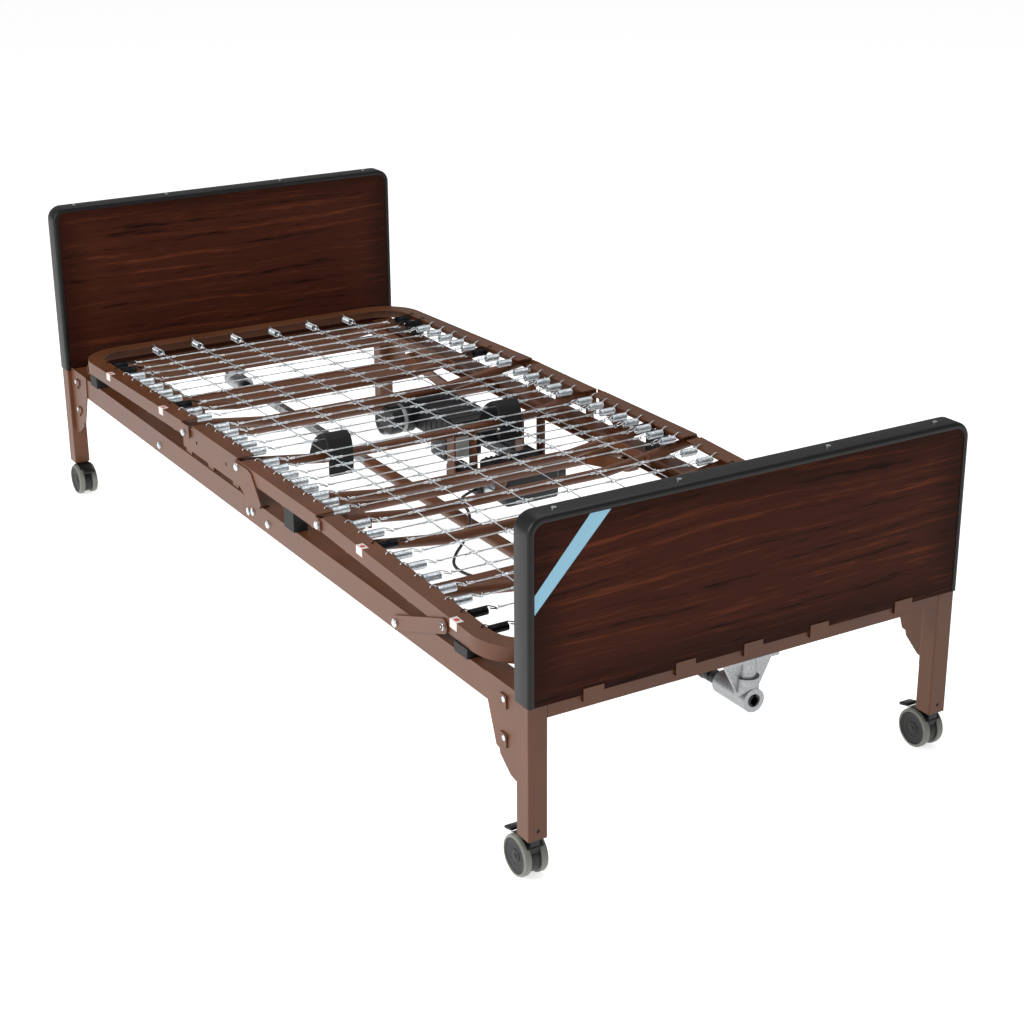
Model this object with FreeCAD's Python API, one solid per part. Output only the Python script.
import FreeCAD, Part
import math
import os
from FreeCAD import Vector

# Adjustable hospital bed, lowest height, spring deck level.
# +X runs to the foot, +Z up, origin on the floor under the middle of the bed.

# overall
length = 2235.0
width = 914.0
deck_top = 400.0
gap = 0.3            # between parts of different bodies that touch
bolt_radius = 4.0
bolt_clearance = 0.1

# bed ends
trim_wall = 1.5
trim_depth = 47.0
trim_lip = 11.0
trim_corner = 45.0
skin = 3.0
panel_bottom = 325.0
foot_top = 651.0
head_top = 731.0
leg_side = 38.0
leg_wall = 1.5
leg_y = 436.4
leg_x = 1094.0
leg_bottom = 80.0
inner_leg_side = 32.0
inner_leg_top = 580.0
crossbar_bottom = 300.0
slider_bottom = 540.0
slider_side = 26.0
lift_travel = 200.0
tab_places = (-332.0, -148.0, -6.0, 138.0, 330.0)
tab_low, tab_high = 312.0, 336.0
screw_places = (-395.0, -155.0, 155.0, 395.0)

# hi-lo drive
shaft_z = 222.0
shaft_outer_radius = 14.3
shaft_inner_side = 17.5
screw_radius = 8.0
screw_top = 590.0
socket_radius = 8.0
socket_depth = 30.0
gear_apex_gap = 0.4

# casters
wheel_radius = 37.5
wheel_width = 13.5
wheel_gap_half = 10.0
caster_web_half = 9.6
caster_trail = 20.0
caster_pedal_back = 24.0

# side rails
rail_outer = 443.5
rail_wall = 2.5
rail_flange = 25.0
rail_top_flange = 46.0
rail_bottom = 278.0
rail_top = 328.0
rail_end = 1071.5
hook_x = 1014.0
hook_heights = (297.0, 226.0)
rail_joint_x = -25.0
bumper_places = (-900.0, 206.0, 885.0)

# deck sections, built flat and then turned down about their hinges
flange_width = 38.0
angle_leg = 30.0
steel = 3.0
deck_end = 1016.0
deck_corner = 105.0
section_outer = 448.5
calf_outer = 445.1
tube_radius = 11.0
tube_wall = 1.6
tube_middle_z = 348.0
tube_end_z = 376.0
tube_bend_y = 230.0
head_hinge = (-328.0, 377.0)
thigh_hinge = (-35.0, 386.0)
knee_hinge = (336.0, 381.0)
head_droop = 1.4
calf_droop = 2.3
seat_from, seat_to = -345.0, -49.0
seat_plate_low = 340.0
seat_posts = (-320.0, -200.0, -70.0)
seat_post_half = 15.0
thigh_from, thigh_to = -25.0, 331.0
calf_from = 350.0
head_to = -298.0

# spring fabric
chain_places = (-262.5, -157.5, -52.5, 52.5, 157.5, 262.5)
wire = 3.0
fabric_z = 391.0
spring_radius = 8.5
spring_bore = 6.6
spring_length = 42.0
head_lines = [-880.0 + 57.5 * i for i in range(10)]
seat_lines = [-279.0 + 48.0 * i for i in range(5)]
thigh_lines = [-12.0 + 46.0 * i for i in range(8)]
calf_lines = [391.0 + 55.0 * i for i in range(9)] + [900.0]

# lifting gear
lift_tube_radius = 16.0
head_pivot = (-494.0, 297.0)
knee_pivot = (93.0, 300.0)
head_arm_length = 230.0
knee_arm_length = 170.0
arm_y = 330.0
roller_radius = 14.0
runner_bottom = 346.0
head_lever_length = 75.0
head_lever_y, head_lever_lead = 290.0, 47.5
knee_lever_y, knee_lever_lead = 112.0, 25.0
drive_hanger_x = -88.0
fork_reach = 38.0
link_low = (649.0, 297.0)
link_high = (825.0, 358.0)


def box(x0, x1, y0, y1, z0, z1):
    corner = Vector(min(x0, x1), min(y0, y1), min(z0, z1))
    return Part.makeBox(abs(x1 - x0), abs(y1 - y0), abs(z1 - z0), corner)


def rod(start, end, radius):
    a = Vector(*start)
    b = Vector(*end)
    return Part.makeCylinder(radius, (b - a).Length, a, b - a)


def pipe(start, end, radius, bore):
    return rod(start, end, radius).cut(rod(start, end, bore))


def cone(start, end, radius0, radius1):
    a = Vector(*start)
    b = Vector(*end)
    return Part.makeCone(radius0, radius1, (b - a).Length, a, b - a)


def plate_xz(points, y0, y1):
    wire_points = [Vector(x, y0, z) for x, z in points]
    face = Part.Face(Part.makePolygon(wire_points + wire_points[:1]))
    return face.extrude(Vector(0, y1 - y0, 0))


def bar_xz(a, b, half, y0, y1):
    """Flat bar with round ends between two pivots."""
    dx, dz = b[0] - a[0], b[1] - a[1]
    run = math.hypot(dx, dz)
    nx, nz = -dz / run * half, dx / run * half
    corners = [(a[0] + nx, a[1] + nz), (b[0] + nx, b[1] + nz), (b[0] - nx, b[1] - nz), (a[0] - nx, a[1] - nz)]
    bar = plate_xz(corners, y0, y1)
    ends = [rod((p[0], y0, p[1]), (p[0], y1, p[1]), half) for p in (a, b)]
    return bar.multiFuse(ends)


def bolt_y(x, z, y0, y1, radius=bolt_radius, head=4.5):
    """Bolt along Y: head outside at y1, thread end at y0."""
    out = 1.0 if y1 > y0 else -1.0
    shank = rod((x, y0, z), (x, y1, z), radius)
    dome = rod((x, y1, z), (x, y1 + out * head * 0.6, z), radius * 2.0)
    crown = rod((x, y1, z), (x, y1 + out * head, z), radius * 1.4)
    return shank.multiFuse([dome, crown])


def nut_y(x, z, y0, y1, radius=bolt_radius):
    return pipe((x, y0, z), (x, y1, z), radius * 1.7, radius)


def mirror_y(shape):
    return shape.mirror(Vector(0, 0, 0), Vector(0, 1, 0))


def mirror_x(shape):
    return shape.mirror(Vector(0, 0, 0), Vector(1, 0, 0))


def both_sides(shape):
    return [shape, mirror_y(shape)]


def turned(shape, pivot, degrees):
    """Turned about +Y through a pivot given as (x, z)."""
    copy = shape.copy()
    copy.rotate(Vector(pivot[0], 0, pivot[1]), Vector(0, 1, 0), degrees)
    return copy


def drooped_head(shape):
    return turned(shape, head_hinge, -head_droop)


def drooped_calf(shape):
    return turned(shape, knee_hinge, calf_droop)


def save(name, solids):
    Part.makeCompound(list(solids)).exportStep("parts/" + name + ".step")


# ---- deck sections ----

def deck_outline(x_open, x_end, half, corner, z):
    """Plan outline of a section: square at its hinge end, round corners at x_end."""
    away = 1.0 if x_end > x_open else -1.0
    r = corner
    cx = x_end - away * r
    s = r * math.sqrt(0.5)
    a, b = Vector(x_open, -half, z), Vector(cx, -half, z)
    c, d = Vector(x_end, -half + r, z), Vector(x_end, half - r, z)
    e, f = Vector(cx, half, z), Vector(x_open, half, z)
    low = Vector(cx + away * s, -half + r - s, z)
    high = Vector(cx + away * s, half - r + s, z)
    edges = [Part.LineSegment(a, b).toShape(), Part.Arc(b, low, c).toShape(), Part.LineSegment(c, d).toShape(),
             Part.Arc(d, high, e).toShape(), Part.LineSegment(e, f).toShape(), Part.LineSegment(f, a).toShape()]
    return Part.Face(Part.Wire(edges))


def deck_rim(x_open, x_end, half, flange_short=0.0):
    """Angle iron bent to a U, flange on top and leg outside; the flange may stop short of the open end."""
    away = 1.0 if x_end > x_open else -1.0
    up = Vector(0, 0, 1)
    beyond = x_open - away * 5.0
    flange_open = x_open + away * flange_short
    whole = deck_outline(flange_open, x_end, half, deck_corner, deck_top - steel).extrude(up * steel)
    hole = deck_outline(beyond, x_end - away * flange_width, half - flange_width, deck_corner - flange_width,
                        deck_top - steel - 1.0).extrude(up * (steel + 2.0))
    leg = deck_outline(x_open, x_end, half, deck_corner, deck_top - angle_leg).extrude(up * (angle_leg - steel))
    core = deck_outline(beyond, x_end - away * steel, half - steel, deck_corner - steel,
                        deck_top - angle_leg - 1.0).extrude(up * (angle_leg + 2.0))
    return whole.cut(hole).fuse(leg.cut(core))


def straight_rim(x0, x1, half):
    """One side of a section that has no closed end."""
    flange = box(x0, x1, half - flange_width, half, deck_top - steel, deck_top)
    leg = box(x0, x1, half - steel, half, deck_top - angle_leg, deck_top - steel)
    return flange.fuse(leg)


def bowed_path(x, half):
    return [(x, -half, tube_end_z), (x, -tube_bend_y, tube_middle_z), (x, tube_bend_y, tube_middle_z),
            (x, half, tube_end_z)]


def tube_height(y, half):
    """Height of a bowed tube's axis at y."""
    rise = (tube_end_z - tube_middle_z) / (half - tube_bend_y)
    return tube_middle_z + max(0.0, abs(y) - tube_bend_y) * rise


def bowed_tube(x, half):
    """Cross tube that drops from the side flanges to a lower straight middle."""
    points = bowed_path(x, half)

    def core(radius):
        runs = [rod(points[i], points[i + 1], radius) for i in range(3)]
        bends = [Part.makeSphere(radius, Vector(*p)) for p in points[1:3]]
        return runs[0].multiFuse(runs[1:] + bends)
    tube = core(tube_radius).cut(core(tube_radius - tube_wall))
    inside = box(x - 30.0, x + 30.0, -half, half, 300.0, deck_top - steel)
    return tube.common(inside)


def runner(x0, x1):
    return box(x0, x1, arm_y - 3.0, arm_y + 3.0, runner_bottom, runner_bottom + 24.0)


def hook_holes(lines, half):
    y = half - flange_width + 9.0
    holes = []
    for x in lines:
        for side in (-1.0, 1.0):
            holes.append(rod((x, side * y, deck_top - steel - 1.0), (x, side * y, deck_top + 1.0), 2.2))
    return holes


def hinge_hole(pivot):
    return rod((pivot[0], -width, pivot[1]), (pivot[0], width, pivot[1]), bolt_radius + bolt_clearance)


def head_section_frame():
    rim = deck_rim(head_to, -deck_end, section_outer, head_to - head_hinge[0] + 8.0)
    inner = section_outer - steel
    tubes = [bowed_tube(x, inner) for x in (-940.0, -545.0, -390.0)]
    runners = both_sides(runner(-950.0, -500.0))
    frame = rim.multiFuse(tubes + runners)
    ends = [rod((-deck_end + flange_width - 9.0, y, deck_top - 5.0), (-deck_end + flange_width - 9.0, y, deck_top + 1.0), 2.2)
            for y in chain_places]
    return frame.cut(Part.makeCompound(hook_holes(head_lines, section_outer) + ends + [hinge_hole(head_hinge)]))


def thigh_section_frame():
    inner = section_outer - steel
    sides = both_sides(straight_rim(thigh_from, thigh_to, section_outer))
    ear = plate_xz([(-48.0, 399.0), (-22.0, 399.0), (-22.0, 374.0), (-40.0, 374.0), (-48.0, 380.0)],
                   section_outer - steel, section_outer)
    knee_ear = plate_xz([(328.0, 397.0), (349.0, 390.0), (349.0, 372.0), (328.0, 370.0)],
                        section_outer - steel, section_outer)
    tubes = [bowed_tube(x, inner) for x in (172.0, 306.0)]
    frame = sides[0].multiFuse(sides[1:] + both_sides(ear) + both_sides(knee_ear) + tubes
                               + both_sides(runner(150.0, 326.0)))
    cuts = hook_holes(thigh_lines, section_outer) + [hinge_hole(thigh_hinge), hinge_hole(knee_hinge)]
    return frame.cut(Part.makeCompound(cuts))


def calf_section_frame():
    inner = calf_outer - steel
    rim = deck_rim(calf_from, deck_end, calf_outer)
    ear = plate_xz([(351.0, 397.0), (326.0, 392.0), (326.0, 371.0), (351.0, 370.0)], calf_outer - steel, calf_outer)
    tubes = [bowed_tube(x, inner) for x in (447.0, 690.0)]
    frame = rim.multiFuse(both_sides(ear) + tubes)
    return frame.cut(Part.makeCompound(hook_holes(calf_lines, calf_outer) + [hinge_hole(knee_hinge)]))


def seat_section_frame():
    outer = rail_outer
    sides = both_sides(straight_rim(-290.0, seat_to, outer))
    web = plate_xz([(seat_from, seat_plate_low), (seat_to, seat_plate_low), (seat_to, deck_top - steel),
                    (-288.0, deck_top - steel), (-288.0, 390.0), (seat_from, 387.0)], outer - rail_wall, outer)
    posts = [box(x - seat_post_half, x + seat_post_half, outer - rail_wall - 3.0, outer - rail_wall,
                 rail_top, seat_plate_low + 20.0) for x in seat_posts]
    holes = [rod((x, -width, 368.0), (x, width, 368.0), 4.0) for x in (-268.0, -110.0)]
    tube = bowed_tube(drive_hanger_x, outer - steel)
    lever_sides = [y + side * 28.0 for y in (head_lever_y, knee_lever_y) for side in (-1.0, 1.0)]
    hangers = [box(drive_hanger_x - 16.0, drive_hanger_x + 16.0, y - 2.0, y + 2.0, drive_axis_z() - 14.0,
                   tube_height(y, outer - steel)) for y in lever_sides]
    sheets = [part for sheet in [web] + posts for part in both_sides(sheet)]
    frame = sides[0].multiFuse([sides[1], tube] + sheets)
    frame = frame.cut(Part.makeCompound(holes + hook_holes(seat_lines, outer) + [hinge_hole(head_hinge)]))
    bore = [rod(p, q, tube_radius - tube_wall) for p, q in zip(bowed_path(drive_hanger_x, 440.0),
                                                              bowed_path(drive_hanger_x, 440.0)[1:])]
    plates = [h.cut(Part.makeCompound(bore)) for h in hangers]
    return frame.multiFuse(plates).cut(Part.makeCompound([pivot_hole(y) for y in (head_lever_y, knee_lever_y)]))


def pivot_hole(y):
    z = drive_axis_z()
    return rod((drive_hanger_x, y - 40.0, z), (drive_hanger_x, y + 40.0, z), 5.0 + bolt_clearance)


def drive_axis_z():
    """Height of the actuator axes: the head lever pin at rest."""
    return head_pivot[1] - head_lever_length * math.cos(math.radians(head_lever_lead))


# ---- spring fabric ----

def link_grid(lines, x_from, x_to, half):
    """Lengthwise chains and crosswise links, welded here into one net."""
    t = wire / 2.0
    reach = half - flange_width - 16.0 - spring_length - 8.0
    chains = [box(x_from, x_to, y - t, y + t, fabric_z - t, fabric_z + t) for y in chain_places]
    rows = [box(x - t * 0.9, x + t * 0.9, -reach, reach, fabric_z - t * 0.9, fabric_z + t * 0.9) for x in lines]
    return chains[0].multiFuse(chains[1:] + rows)


def spring_x(x, y_outer, side):
    """Side spring along Y: a sleeve with a hook at each end."""
    y1 = y_outer
    y0 = y_outer - spring_length
    coil = pipe((x, side * y0, fabric_z), (x, side * y1, fabric_z), spring_radius, spring_bore)
    cap = [rod((x, side * y, fabric_z), (x, side * (y + 1.5), fabric_z), spring_bore + 0.5) for y in (y0, y1 - 1.5)]
    inner = rod((x, side * (y0 - 5.0), fabric_z), (x, side * (y0 + 1.0), fabric_z), 1.2)
    out = rod((x, side * (y1 - 1.0), fabric_z), (x, side * (y1 + 13.0), fabric_z), 1.2)
    return coil.multiFuse(cap + [inner, out])


def side_springs(lines, half):
    edge = half - flange_width
    return [spring_x(x, edge - 6.0, side) for x in lines for side in (-1.0, 1.0)]


def end_springs():
    springs = []
    x1 = -deck_end + flange_width + 10.0
    x0 = x1 + spring_length
    for y in chain_places:
        coil = pipe((x0, y, fabric_z), (x1, y, fabric_z), spring_radius, spring_bore)
        caps = [rod((x, y, fabric_z), (x + 1.5, y, fabric_z), spring_bore + 0.5) for x in (x1, x0 - 1.5)]
        hooks = [rod((x1 - 14.0, y, fabric_z), (x1 + 1.0, y, fabric_z), 1.2),
                 rod((x0 - 1.0, y, fabric_z), (x0 + 6.0, y, fabric_z), 1.2)]
        springs.append(coil.multiFuse(caps + hooks))
    return springs


# ---- main frame ----

def rail(x0, x1, side):
    y_out = rail_outer
    y_in = rail_outer - rail_flange
    web = box(x0, x1, y_out - rail_wall, y_out, rail_bottom, rail_top)
    low = box(x0, x1, y_in, y_out, rail_bottom, rail_bottom + rail_wall)
    high = box(x0, x1, y_out - rail_top_flange, y_out, rail_top - rail_wall, rail_top)
    channel = web.multiFuse([low, high])
    return channel if side > 0 else mirror_y(channel)


def rail_holes():
    spots = [head_pivot, knee_pivot, link_low, (-4.0, 297.0), (18.0, 303.0)]
    return [rod((x, -width, z), (x, width, z), bolt_radius) for x, z in spots]


def cross_member(x):
    """Square tube between the rails."""
    y = rail_outer - rail_wall
    z0, z1 = rail_bottom + rail_wall, rail_bottom + rail_wall + 25.0
    tube = box(x - 12.5, x + 12.5, -y, y, z0, z1)
    return tube.cut(box(x - 11.0, x + 11.0, -y, y, z0 + 1.5, z1 - 1.5))


def frame_half(x0, x1, members):
    holes = Part.makeCompound(rail_holes())
    rails = [rail(x0, x1, side).cut(holes) for side in (-1.0, 1.0)]
    return rails + [cross_member(x) for x in members]


def splice_plates():
    """Plates inside the rails that join the two half frames."""
    plate = box(-60.0, 60.0, rail_outer - rail_wall - 3.0, rail_outer - rail_wall,
                rail_bottom + 4.0, rail_top - 4.0).cut(Part.makeCompound(rail_holes()))
    return both_sides(plate)


def corner_plate():
    """Tapered plate welded to the rail end, with a flange against the leg and two hook tabs."""
    y0, y1 = rail_outer, rail_outer + 2.5
    points = [(966.0, 332.0), (1069.0, 332.0), (1072.0, 324.0), (1072.0, 168.0), (1058.0, 168.0),
              (1042.0, 172.0), (1009.0, 197.0), (1007.0, 206.0), (997.0, 208.0), (969.0, 282.0)]
    face = plate_xz(points, y0, y1)
    flange = box(1072.0, 1074.6, rail_outer - 22.0, y1, 168.0, panel_bottom - 1.0)
    tabs = []
    for z in hook_heights:
        hook = [(hook_x, z + 16.0), (hook_x + 20.0, z + 16.0), (hook_x + 20.0, z - 8.0), (hook_x + 12.0, z - 8.0),
                (hook_x + 12.0, z + 2.0), (hook_x, z + 2.0)]
        tabs.append(plate_xz(hook, y1, y1 + 3.0))
    return face.multiFuse([flange] + tabs)


def corner_plates():
    plate = corner_plate()
    return [plate, mirror_y(plate), mirror_x(plate), mirror_x(mirror_y(plate))]


def hinge_bracket():
    """Plate that carries the thigh hinge, with a foot welded to the top of the rail."""
    y0, y1 = section_outer + 0.4, section_outer + 2.9
    foot_top = rail_top + 4.0
    bar = plate_xz([(-47.0, 396.0), (20.0, 396.0), (36.0, 391.0), (78.0, 338.0), (70.0, rail_top),
                    (16.0, rail_top), (-36.0, 352.0), (-47.0, 366.0)], y0, y1)
    foot = box(16.0, 70.0, rail_outer - 14.0, y0, rail_top, foot_top)
    return bar.fuse(foot).cut(hinge_hole(thigh_hinge))


def bumper(x):
    z1 = rail_top + angle_leg + 12.0 - gap
    if x < 0:
        z1 -= abs(x - head_hinge[0]) * math.tan(math.radians(head_droop)) + 0.6
    if x > knee_hinge[0]:
        z1 -= (x + 22.0 - knee_hinge[0]) * math.tan(math.radians(calf_droop)) + 0.6
    return box(x - 22.0, x + 22.0, rail_outer - rail_flange, section_outer, rail_top, z1)


def frame_fasteners():
    """Hinge bolts, torque tube bolts, splice bolts and leg rivets of one side, mirrored to the other."""
    inner = rail_outer - rail_wall
    plate_out = section_outer + 2.9
    bolts = [bolt_y(head_hinge[0], head_hinge[1], inner - 6.0, section_outer + gap),
             nut_y(head_hinge[0], head_hinge[1], inner - 6.0, inner),
             bolt_y(thigh_hinge[0], thigh_hinge[1], inner, plate_out),
             nut_y(thigh_hinge[0], thigh_hinge[1], inner, section_outer - steel - gap),
             bolt_y(head_pivot[0], head_pivot[1], inner - 12.0, rail_outer),
             bolt_y(knee_pivot[0], knee_pivot[1], inner - 12.0, rail_outer),
             bolt_y(link_low[0], link_low[1], inner - 6.0, section_outer + 0.8),
             nut_y(link_low[0], link_low[1], inner - 6.0, inner),
             bolt_y(-4.0, 297.0, inner - 9.0, rail_outer, head=3.0),
             bolt_y(18.0, 303.0, inner - 9.0, rail_outer, head=3.0)]
    rivet_x = hook_x + 16.0
    rivets = [rod((sx * rivet_x, rail_outer + 5.5, z + 10.0), (sx * rivet_x, rail_outer + 8.5, z + 10.0), 5.0)
              for sx in (-1.0, 1.0) for z in hook_heights]
    half = bolts + rivets
    return half + [mirror_y(s) for s in half]


# ---- bed ends ----

def panel_outline(x, inset, top, below=0.0):
    """Outline of a bed end in its own plane: square at the bottom, round at the top corners."""
    half = width / 2.0 - inset
    r = trim_corner - inset
    z0, z1 = panel_bottom - below, top - inset
    s = r * math.sqrt(0.5)
    a, b = Vector(x, -half, z0), Vector(x, half, z0)
    c, d = Vector(x, half, z1 - r), Vector(x, half - r, z1)
    e, f = Vector(x, -half + r, z1), Vector(x, -half, z1 - r)
    right = Vector(x, half - r + s, z1 - r + s)
    left = Vector(x, -half + r - s, z1 - r + s)
    edges = [Part.LineSegment(a, b).toShape(), Part.LineSegment(b, c).toShape(), Part.Arc(c, right, d).toShape(),
             Part.LineSegment(d, e).toShape(), Part.Arc(e, left, f).toShape(), Part.LineSegment(f, a).toShape()]
    return Part.Face(Part.Wire(edges))


def edge_trim(top):
    """U section wrapped round the sides and top of the foot end."""
    x1 = length / 2.0
    x0 = x1 - trim_depth
    block = panel_outline(x0, 0.0, top).extrude(Vector(trim_depth, 0, 0))
    hollow = panel_outline(x0 + trim_wall, trim_wall, top, 1.0).extrude(Vector(trim_depth - 2.0 * trim_wall, 0, 0))
    window = panel_outline(x0 - 1.0, trim_lip, top, 1.0).extrude(Vector(trim_depth + 2.0, 0, 0))
    holes = [rod((leg_x, y, top - 3.0), (leg_x, y, top + 1.0), 2.3) for y in screw_places]
    return block.cut(Part.makeCompound([hollow, window] + holes))


def end_skins(top):
    """Outer and inner laminate sheets of the foot end."""
    outer = panel_outline(length / 2.0 - trim_wall - skin, trim_wall + 0.5, top).extrude(Vector(skin, 0, 0))
    inner = panel_outline(length / 2.0 - trim_depth + trim_wall, trim_wall + 0.5, top).extrude(Vector(skin, 0, 0))
    return outer, inner


def outer_leg(top):
    half = leg_side / 2.0
    x0, x1 = leg_x - half, leg_x + half
    leg = box(x0, x1, leg_y - half, leg_y + half, leg_bottom, top)
    leg = leg.makeFillet(3.0, [e for e in leg.Edges if abs(e.tangentAt(0.5).z) > 0.9])
    core = box(x0 + leg_wall, x1 - leg_wall, leg_y - half + leg_wall, leg_y + half - leg_wall, leg_bottom, top)
    slot = box(leg_x - slider_side / 2.0 - 2.0, leg_x + slider_side / 2.0 + 2.0, leg_y - half - 1.0,
               leg_y - half + leg_wall + 0.5, slider_bottom - lift_travel - 4.0, slider_bottom + slider_side + 6.0)
    pin_hole = rod((x1 - 3.0, leg_y, 97.0), (x1 + 3.0, leg_y, 97.0), 3.2)
    within = panel_outline(x0 - 1.0, trim_wall + 0.4, top + 14.0, 300.0).extrude(Vector(leg_side + 2.0, 0, 0))
    return leg.common(within).cut(Part.makeCompound([core, slot, pin_hole]))


def crossbar():
    """Tube under the panel with five tabs folded up over the outer skin."""
    y = leg_y - leg_side / 2.0
    x0, x1 = leg_x - 17.0, leg_x + 18.0
    tube = box(x0, x1, -y, y, crossbar_bottom, panel_bottom - gap)
    tube = tube.cut(box(x0 + 1.5, x1 - 1.5, -y, y, crossbar_bottom + 1.5, panel_bottom - gap - 1.5))
    tabs = []
    for place in tab_places:
        tabs.append(box(x1, length / 2.0, place - 20.0, place + 20.0, tab_low, tab_low + 1.4))
        tabs.append(box(length / 2.0 - 1.3, length / 2.0, place - 20.0, place + 20.0, tab_low, tab_high))
    bore = rod((leg_x, 0, crossbar_bottom - 1.0), (leg_x, 0, panel_bottom + 1.0), screw_radius + 2.0)
    return tube.multiFuse(tabs).cut(bore)


def end_frame(top):
    leg = outer_leg(top - 14.0)
    y = leg_y - leg_side / 2.0
    top_bar = box(leg_x - 14.0, leg_x + 14.0, -y, y, top - 44.0, top - 19.0)
    top_bar = top_bar.cut(box(leg_x - 12.5, leg_x + 12.5, -y, y, top - 42.5, top - 20.5))
    return [leg, mirror_y(leg), crossbar(), top_bar]


def trim_screws(top):
    """Pan heads along the top of the trim, threaded into the top bar."""
    heads = []
    for y in screw_places:
        head = rod((leg_x, y, top), (leg_x, y, top + 2.2), 4.5)
        shank = rod((leg_x, y, top - trim_wall), (leg_x, y, top), 2.2)
        heads.append(head.fuse(shank))
    return heads


def inner_legs():
    """Sliding legs joined by a cross member that carries the screw nut."""
    half = inner_leg_side / 2.0
    leg = box(leg_x - half, leg_x + half, leg_y - half, leg_y + half, leg_bottom - 2.0, inner_leg_top)
    core = box(leg_x - half + 1.5, leg_x + half - 1.5, leg_y - half + 1.5, leg_y + half - 1.5,
               leg_bottom + 40.0, inner_leg_top)
    stem = rod((leg_x, leg_y, leg_bottom - 3.0), (leg_x, leg_y, leg_bottom + 41.0), 5.7)
    leg = leg.cut(core).cut(stem)
    s = slider_side / 2.0
    y = leg_y - half
    z0, z1 = slider_bottom, slider_bottom + slider_side
    member = box(leg_x - s, leg_x + s, -y, y, z0, z1)
    member = member.cut(box(leg_x - s + 2.0, leg_x + s - 2.0, -y, y, z0 + 2.0, z1 - 2.0))
    bore = rod((leg_x, 0, z0 - 1.0), (leg_x, 0, z1 + 1.0), screw_radius + 0.4)
    nut = box(leg_x - s + 2.0, leg_x + s - 2.0, -18.0, 18.0, z0 + 2.0, z1 - 2.0)
    return [leg, mirror_y(leg), member.cut(bore), nut.cut(bore)]


def leg_guide():
    """Plastic liner clipped in the mouth of an outer leg."""
    side = leg_side / 2.0 - leg_wall
    half = inner_leg_side / 2.0 + gap
    z0, z1 = leg_bottom, leg_bottom + 26.0
    block = box(leg_x - side, leg_x + side, leg_y - side, leg_y + side, z0, z1)
    bore = box(leg_x - half, leg_x + half, leg_y - half, leg_y + half, z0, z1)
    return block.cut(bore)


def leg_guides():
    guide = leg_guide()
    return [guide, mirror_y(guide), mirror_x(guide), mirror_x(mirror_y(guide))]


# ---- hi-lo drive ----

def gearbox(with_socket):
    """Cast housing under the crossbar: shaft barrel, screw tower, web and bolting flange."""
    front = length / 2.0 - 1.0
    barrel = rod((leg_x - 68.0, 0, shaft_z), (front, 0, shaft_z), 22.0)
    tower = rod((leg_x, 0, shaft_z), (leg_x, 0, 262.0), 22.0)
    neck = rod((leg_x, 0, 262.0), (leg_x, 0, crossbar_bottom), 16.0)
    flange = box(leg_x - 17.0, leg_x + 17.0, -56.0, 56.0, crossbar_bottom - 6.0, crossbar_bottom)
    web = Part.Face(Part.makePolygon([Vector(leg_x - 4.0, y, z) for y, z in (
        (-54.0, 296.0), (54.0, 296.0), (18.0, 226.0), (-18.0, 226.0), (-54.0, 296.0))])).extrude(Vector(8.0, 0, 0))
    rib = plate_xz([(leg_x - 60.0, shaft_z + 10.0), (leg_x - 14.0, 296.0), (leg_x + 8.0, 296.0),
                    (leg_x + 8.0, shaft_z)], -4.0, 4.0)
    body = barrel.multiFuse([tower, neck, flange, web, rib])
    cavity = rod((leg_x - 28.0, 0, shaft_z), (leg_x + 8.0, 0, shaft_z), 19.4)
    well = rod((leg_x, 0, shaft_z), (leg_x, 0, shaft_z + 24.0), 19.4)
    screw_bore = rod((leg_x, 0, shaft_z), (leg_x, 0, crossbar_bottom + 1.0), screw_radius + bolt_clearance)
    back_bore = rod((leg_x - 70.0, 0, shaft_z), (leg_x, 0, shaft_z), 8.0 + bolt_clearance)
    front_radius = 12.0 + bolt_clearance if with_socket else 8.0 + bolt_clearance
    front_end = front + 1.0 if with_socket else leg_x + 14.0
    front_bore = rod((leg_x, 0, shaft_z), (front_end, 0, shaft_z), front_radius)
    return body.cut(Part.makeCompound([cavity, well, screw_bore, back_bore, front_bore]))


def drive_stub(with_socket):
    """Input shaft through the gearbox with its bevel gear and, at the foot, the crank socket."""
    apex = gear_apex_gap
    gear = cone((leg_x - 19.0, 0, shaft_z), (leg_x - 14.0, 0, shaft_z), 19.0 - apex, 14.0 - apex)
    shaft = rod((leg_x - 92.0, 0, shaft_z), (leg_x - 12.0, 0, shaft_z), 8.0)
    if not with_socket:
        return [shaft.fuse(gear)]
    socket = rod((leg_x - 12.0, 0, shaft_z), (length / 2.0, 0, shaft_z), 12.0)
    bore = rod((length / 2.0 - socket_depth, 0, shaft_z), (length / 2.0 + 1.0, 0, shaft_z), socket_radius)
    slot = box(length / 2.0 - 12.0, length / 2.0 + 1.0, -2.5, 2.5, shaft_z - 13.0, shaft_z + 13.0)
    return [shaft.fuse(gear), socket.cut(Part.makeCompound([bore, slot]))]


def universal_joint():
    """Yoke, cross and yoke between the gearbox stub and the long shaft."""
    x1 = leg_x - 70.0
    yoke = pipe((x1 - 22.0, 0, shaft_z), (x1 - 2.0, 0, shaft_z), 13.0, 8.0)
    cup = rod((x1 - 46.0, 0, shaft_z), (x1 - 26.0, 0, shaft_z), 13.0)
    pin = rod((x1 - 24.0, -13.0, shaft_z), (x1 - 24.0, 13.0, shaft_z), 2.0)
    return [yoke, cup, pin]


def lead_screw():
    apex = gear_apex_gap
    stem = rod((leg_x, 0, shaft_z + 14.0), (leg_x, 0, screw_top), screw_radius)
    gear = cone((leg_x, 0, shaft_z + 14.0), (leg_x, 0, shaft_z + 19.0), 14.0 - apex, 19.0 - apex)
    return [stem.fuse(gear)]


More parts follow.
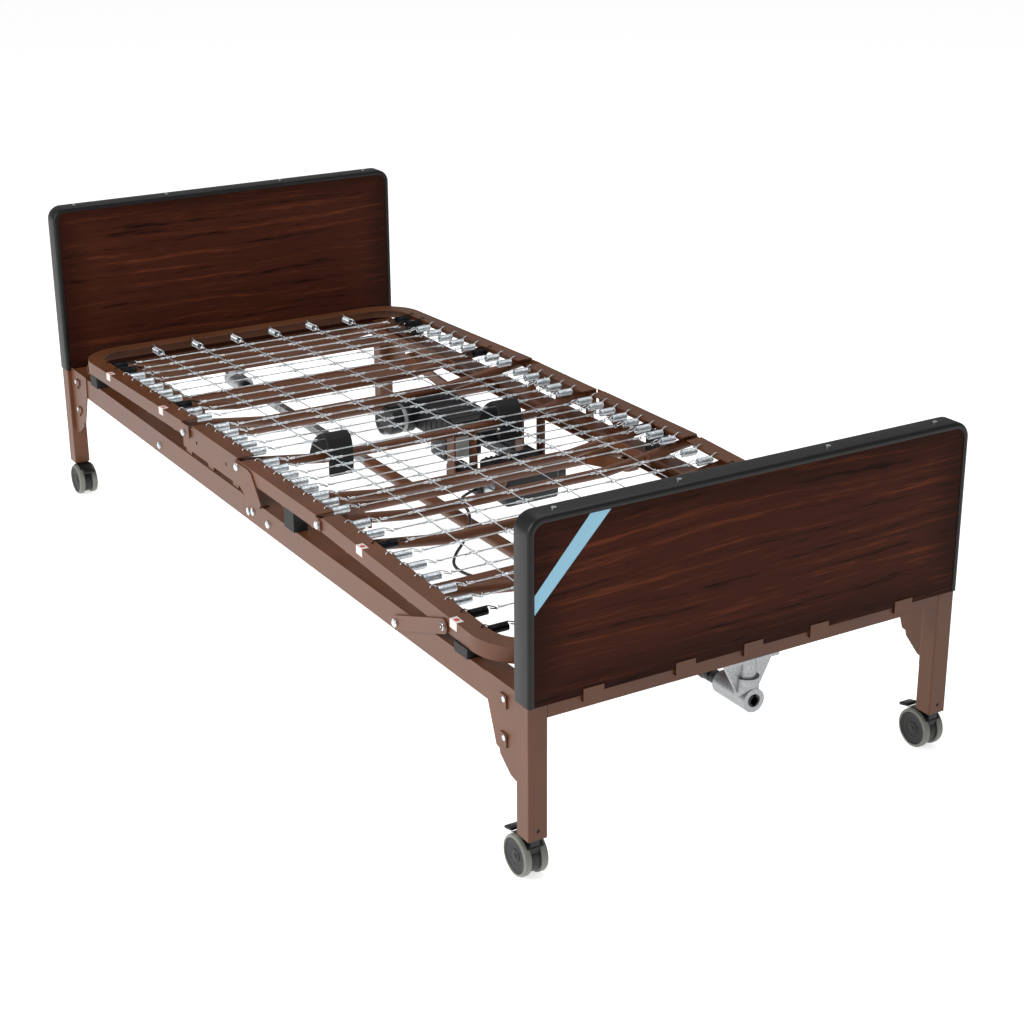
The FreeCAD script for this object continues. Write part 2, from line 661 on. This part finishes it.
def shaft_tube():
    x1 = leg_x - 70.0 - 46.0
    return pipe((-330.0, 0, shaft_z), (x1, 0, shaft_z), shaft_outer_radius, shaft_outer_radius - 1.5)


def shaft_bar():
    s = shaft_inner_side / 2.0
    x0 = -(leg_x - 70.0 - 46.0)
    bar = box(x0, -180.0, -s, s, shaft_z - s, shaft_z + s)
    return bar.cut(box(x0, -180.0, -s + 2.0, s - 2.0, shaft_z - s + 2.0, shaft_z + s - 2.0))


# ---- casters ----

def caster_centre():
    return leg_x - caster_trail, leg_y


def caster_housing():
    """Stem, hood and web between the two wheels, with the axle."""
    x, y = caster_centre()
    stem = rod((leg_x, leg_y, 75.3), (leg_x, leg_y, leg_bottom + 36.0), 5.5)
    collar = rod((leg_x, leg_y, 75.3), (leg_x, leg_y, leg_bottom - 2.0 - gap), 13.0)
    web = rod((x, y - caster_web_half, wheel_radius), (x, y + caster_web_half, wheel_radius), 33.0)
    hood = rod((x, y - 16.0, wheel_radius), (x, y + 16.0, wheel_radius), wheel_radius + 2.5)
    hood = hood.cut(rod((x, y - 20.0, wheel_radius), (x, y + 20.0, wheel_radius), wheel_radius + 1.0))
    hood = hood.common(box(x - 24.0, x + 50.0, y - 20.0, y + 20.0, 62.0, 90.0))
    axle = rod((x, y - 23.0, wheel_radius), (x, y + 23.0, wheel_radius), 4.0)
    body = web.multiFuse([hood, collar, stem])
    low = box(x - 60.0, x + 60.0, y - 30.0, y + 30.0, -10.0, 6.0)
    bridge = box(leg_x - 22.0, leg_x + 10.0, y - caster_web_half, y + caster_web_half, 50.0, 76.0)
    return [body.fuse(bridge).cut(low).fuse(axle)]


def caster_wheels():
    x, y = caster_centre()
    wheels = []
    for side in (-1.0, 1.0):
        y0, y1 = y + side * wheel_gap_half, y + side * (wheel_gap_half + wheel_width)
        wheel = rod((x, y0, wheel_radius), (x, y1, wheel_radius), wheel_radius)
        wheels.append(wheel.cut(rod((x, y0 - side, wheel_radius), (x, y1 + side, wheel_radius), 4.0 + bolt_clearance)))
    return wheels


def brake_pedal():
    """Pressed lever behind the hood that rocks down on the wheels."""
    x, y = caster_centre()
    lever = plate_xz([(x - 26.0, 74.0), (x - 22.0, 80.0), (x - 52.0, 72.0), (x - 58.0, 66.0), (x - 52.0, 62.0),
                      (x - 36.0, 66.0)], y - 14.0, y + 14.0)
    pivot = rod((x - caster_pedal_back, y - 14.0, 77.0), (x - caster_pedal_back, y + 14.0, 77.0), 3.0)
    return [lever.fuse(pivot)]


# ---- lifting gear ----

def roller_place(hinge, pivot, arm, offset, tilt, way):
    """Roller centre at rest: on the arm's circle and on a line under the section."""
    t = math.radians(tilt)
    ux, uz = way * math.cos(t), -math.sin(t)
    nx, nz = -way * math.sin(t), -math.cos(t)
    qx, qz = hinge[0] + offset * nx - pivot[0], hinge[1] + offset * nz - pivot[1]
    b = qx * ux + qz * uz
    c = qx * qx + qz * qz - arm * arm
    run = -b + math.sqrt(b * b - c)
    return pivot[0] + qx + run * ux, pivot[1] + qz + run * uz


def head_roller():
    offset = head_hinge[1] - runner_bottom + roller_radius + gap
    return roller_place(head_hinge, head_pivot, head_arm_length, offset, head_droop, -1.0)


def knee_roller():
    offset = thigh_hinge[1] - runner_bottom + roller_radius + gap
    return roller_place(thigh_hinge, knee_pivot, knee_arm_length, offset, 0.0, 1.0)


def lift_arm(pivot, roller, lever_y, lever_pin):
    """Torque tube across the bed with two arms, their rollers and one actuator lever."""
    half = rail_outer - rail_wall - gap
    tube = pipe((pivot[0], -half, pivot[1]), (pivot[0], half, pivot[1]), lift_tube_radius, lift_tube_radius - 2.0)
    plugs = [rod((pivot[0], s * half, pivot[1]), (pivot[0], s * (half - 14.0), pivot[1]), lift_tube_radius - 2.0)
             for s in (-1.0, 1.0)]
    bores = [rod((pivot[0], s * (half + 1.0), pivot[1]), (pivot[0], s * (half - 15.0), pivot[1]),
                 bolt_radius + bolt_clearance) for s in (-1.0, 1.0)]
    tube = tube.multiFuse(plugs).cut(Part.makeCompound(bores))
    solid_tube = rod((pivot[0], -half, pivot[1]), (pivot[0], half, pivot[1]), lift_tube_radius)
    arms = [bar_xz(pivot, roller, 13.0, s * arm_y - s * 16.0, s * arm_y - s * 10.0).cut(solid_tube)
            for s in (-1.0, 1.0)]
    lever = bar_xz(pivot, lever_pin, 14.0, lever_y - 3.0, lever_y + 3.0).cut(solid_tube)
    rollers = []
    for s in (-1.0, 1.0):
        wheel = rod((roller[0], s * (arm_y - 10.0 + 0.5), roller[1]), (roller[0], s * (arm_y + 10.0), roller[1]),
                    roller_radius)
        pin = rod((roller[0], s * (arm_y - 10.0), roller[1]), (roller[0], s * (arm_y - 9.5), roller[1]), 6.0)
        rollers.append(wheel.fuse(pin))
    return [tube, lever] + arms + rollers


def head_lever_pin():
    a = math.radians(head_lever_lead)
    return head_pivot[0] + head_lever_length * math.sin(a), drive_axis_z()


def knee_lever_pin():
    a = math.radians(knee_lever_lead)
    return knee_pivot[0] - (knee_pivot[1] - drive_axis_z()) * math.tan(a), drive_axis_z()


def trunnions(y):
    z = drive_axis_z()
    return [rod((drive_hanger_x, y - s * 22.0, z), (drive_hanger_x, y - s * 31.0, z), 5.0) for s in (-1.0, 1.0)]


def head_actuator():
    """Screw housing, gear case, transverse motor and switch box."""
    y, z = head_lever_y, drive_axis_z()
    housing = box(-392.0, -70.0, y - 22.0, y + 22.0, z - 20.0, z + 20.0)
    housing = housing.multiFuse(trunnions(y))
    housing = housing.cut(rod((-393.0, y, z), (-95.0, y, z), 11.0 + bolt_clearance))
    case = box(-466.0, -190.0, y - 145.0, y - 22.0, 262.0, 332.0)
    case = case.makeFillet(8.0, [e for e in case.Edges if e.BoundBox.XLength > 200.0])
    motor = rod((-402.0, y - 205.0, 288.0), (-402.0, y - 145.0, 288.0), 35.0)
    switch_box = box(-190.0, -118.0, y - 205.0, y - 110.0, 268.0, 326.0)
    return [housing, case, motor, switch_box]


def knee_actuator():
    y, z = knee_lever_y, drive_axis_z()
    housing = box(-128.0, 18.0, y - 22.0, y + 22.0, z - 20.0, z + 20.0)
    housing = housing.multiFuse(trunnions(y))
    housing = housing.cut(rod((-120.0, y, z), (19.0, y, z), 11.0 + bolt_clearance))
    case = box(-56.0, 66.0, y + 22.0, y + 160.0, 206.0, 290.0)
    case = case.makeFillet(8.0, [e for e in case.Edges if e.BoundBox.XLength > 100.0])
    motor = rod((5.0, y + 160.0, 250.0), (5.0, y + 196.0, 250.0), 35.0)
    return [housing, case, motor]


def actuator_rod(pin, lever_y, back):
    """Push rod with a fork that straddles the lever; the fork stubs stop short of it."""
    x, z = pin[0], drive_axis_z()
    way = -1.0 if pin[0] < back else 1.0
    root = x - way * fork_reach
    shaft = rod((back, lever_y, z), (root, lever_y, z), 11.0)
    yoke = box(root - way * 4.0, root + way * 2.0, lever_y - 12.0, lever_y + 12.0, z - 12.0, z + 12.0)
    cheeks = [box(root, x + way * 10.0, lever_y + s * 7.0, lever_y + s * 12.0, z - 10.0, z + 10.0)
              for s in (-1.0, 1.0)]
    stubs = [rod((x, lever_y + s * 4.0, z), (x, lever_y + s * 15.0, z), 4.5) for s in (-1.0, 1.0)]
    return [shaft.multiFuse([yoke] + cheeks + stubs)]


def calf_links():
    """Flat links from the rails to the calf section; their upper bolts stop short of the calf rim."""
    y0, y1 = calf_outer + 0.9, calf_outer + 3.9
    link = bar_xz(link_low, link_high, 14.0, y0, y1)
    link = link.cut(rod((link_low[0], -width, link_low[1]), (link_low[0], width, link_low[1]),
                        bolt_radius + bolt_clearance))
    hole = rod((link_high[0], y0 - 1.0, link_high[1]), (link_high[0], y1 + 1.0, link_high[1]), bolt_radius)
    bolt = bolt_y(link_high[0], link_high[1], calf_outer + 0.4, y1)
    return both_sides(link.cut(hole)) + both_sides(bolt)


# ---- soft pieces ----

def strap(y):
    """Padded band looped over the seat cross tube."""
    half = 28.5
    outline = [(-150.0, 322.0), (-128.0, 372.0), (-96.0, 402.0), (-62.0, 412.0), (-44.0, 400.0), (-36.0, 360.0),
               (-40.0, 318.0), (-46.0, 318.0), (-44.0, 358.0), (-50.0, 392.0), (-64.0, 402.0), (-92.0, 392.0),
               (-120.0, 366.0), (-143.0, 322.0)]
    return plate_xz(outline, y - half, y + half)


def straps():
    return [strap(-210.0), strap(210.0)]


def cable_route():
    """Lead from the knee actuator to the junction box, one loose loop on the way."""
    return [(5.0, 92.0, 242.0), (16.0, 58.0, 240.0), (50.0, 28.0, 246.0), (98.0, 6.0, 254.0), (150.0, -10.0, 260.0),
            (202.0, -36.0, 262.0), (254.0, -70.0, 262.0), (306.0, -112.0, 262.0), (352.0, -158.0, 262.0),
            (400.0, -190.0, 262.0), (452.0, -190.0, 262.0), (496.0, -166.0, 262.0), (528.0, -120.0, 264.0),
            (543.0, -69.0, 268.0)]


def rounded_route(points, diameter):
    """Straight runs joined by tangent arcs, each arc as large as its two runs allow."""
    p = [Vector(*q) for q in points]
    edges = []
    cursor = p[0]
    for i in range(1, len(p) - 1):
        a, b = p[i - 1] - p[i], p[i + 1] - p[i]
        reach = 0.45 * min(a.Length, b.Length)
        turn = math.pi - a.getAngle(b)
        radius = reach / math.tan(turn / 2.0)
        print("cable arc radius", round(radius, 1), "diameters", round(radius / diameter, 1))
        a.normalize()
        b.normalize()
        first, last = p[i] + a * reach, p[i] + b * reach
        inward = a + b
        inward.normalize()
        centre = p[i] + inward * (radius / math.cos(turn / 2.0))
        middle = centre - inward * radius
        edges.append(Part.LineSegment(cursor, first).toShape())
        edges.append(Part.Arc(first, middle, last).toShape())
        cursor = last
    edges.append(Part.LineSegment(cursor, p[-1]).toShape())
    return Part.Wire(edges)


def cable():
    diameter = 6.5
    route = rounded_route(cable_route(), diameter)
    start = route.Edges[0]
    circle = Part.Wire(Part.makeCircle(diameter / 2.0, start.valueAt(start.FirstParameter),
                                       start.tangentAt(start.FirstParameter)))
    tube = route.makePipeShell([circle], True, False)
    print("cable volume", round(tube.Volume), "section x length",
          round(math.pi * diameter ** 2 / 4.0 * route.Length), "length", round(route.Length))
    return tube


def knee_bolts():
    bolt = bolt_y(knee_hinge[0], knee_hinge[1], calf_outer - steel - 6.0, section_outer)
    nut = nut_y(knee_hinge[0], knee_hinge[1], calf_outer - steel - 6.0, calf_outer - steel - gap)
    return both_sides(bolt) + both_sides(nut)


def junction_box():
    return box(520.0, 574.0, -70.0, -26.0, 256.0, rail_bottom + rail_wall)


def main():
    os.makedirs("parts", exist_ok=True)
    save("frame_head_half", frame_half(-rail_end, rail_joint_x - 0.2, (-1000.0, -765.0)))
    save("frame_foot_half", frame_half(rail_joint_x + 0.2, rail_end, (560.0, 1000.0)) + splice_plates())
    save("corner_plates", corner_plates() + both_sides(hinge_bracket()))
    screws = trim_screws(foot_top) + [mirror_x(s) for s in trim_screws(head_top)]
    save("bolts_and_screws", frame_fasteners() + screws)
    save("deck_bumpers", [s for x in bumper_places for s in both_sides(bumper(x))])
    save("seat_section_frame", [seat_section_frame()])
    save("seat_section_links", [link_grid(seat_lines, -290.0, -64.0, rail_outer)])
    save("seat_section_springs", side_springs(seat_lines, rail_outer))
    save("head_section_frame", [drooped_head(head_section_frame())])
    save("head_section_links", [drooped_head(link_grid(head_lines, -916.0, -340.0, section_outer))])
    save("head_section_springs", [drooped_head(s) for s in side_springs(head_lines, section_outer) + end_springs()])
    save("thigh_section_frame", [thigh_section_frame()])
    save("thigh_section_links", [link_grid(thigh_lines, -16.0, 318.0, section_outer)])
    save("thigh_section_springs", side_springs(thigh_lines, section_outer))
    save("calf_section_frame", [drooped_calf(calf_section_frame())])
    save("calf_section_links", [drooped_calf(link_grid(calf_lines, 380.0, 912.0, calf_outer))])
    save("calf_section_springs", [drooped_calf(s) for s in side_springs(calf_lines, calf_outer)])
    save("knee_hinge_bolts", knee_bolts())

    for end, top, place in (("foot", foot_top, lambda s: s), ("head", head_top, mirror_x)):
        outer, inner = end_skins(top)
        with_socket = end == "foot"
        save(end + "_end_frame", [place(s) for s in end_frame(top)])
        save(end + "_end_outer_panel", [place(outer)])
        save(end + "_end_inner_panel", [place(inner)])
        save(end + "_end_trim", [place(edge_trim(top))])
        save(end + "_inner_legs", [place(s) for s in inner_legs()])
        save(end + "_gearbox", [place(gearbox(with_socket))])
        save(end + "_lead_screw", [place(s) for s in lead_screw()])
    save("leg_guides", leg_guides())
    stubs = drive_stub(True) + [mirror_x(s) for s in drive_stub(False)]
    joints = universal_joint() + [mirror_x(s) for s in universal_joint()]
    save("drive_stubs_and_joints", stubs + joints)
    save("drive_shaft_tube", [shaft_tube()])
    save("drive_shaft_bar", [shaft_bar()])

    corners = (("foot_left", lambda s: mirror_y(s)), ("foot_right", lambda s: s),
               ("head_left", lambda s: mirror_x(mirror_y(s))), ("head_right", mirror_x))
    for name, place in corners:
        save(name + "_caster_housing", [place(s) for s in caster_housing()])
        save(name + "_caster_wheels", [place(s) for s in caster_wheels()])
        save(name + "_brake_pedal", [place(s) for s in brake_pedal()])

    save("head_lift_arm", lift_arm(head_pivot, head_roller(), head_lever_y, head_lever_pin()))
    save("knee_lift_arm", lift_arm(knee_pivot, knee_roller(), knee_lever_y, knee_lever_pin()))
    save("head_actuator", head_actuator())
    save("knee_actuator", knee_actuator())
    save("head_actuator_rod", actuator_rod(head_lever_pin(), head_lever_y, -270.0))
    save("knee_actuator_rod", actuator_rod(knee_lever_pin(), knee_lever_y, -60.0))
    save("calf_support_links", calf_links())
    save("lifting_straps", straps())
    save("control_cable", [cable().cut(Part.makeCompound([junction_box(), knee_actuator()[0]]))])
    save("junction_box", [junction_box()])


main()
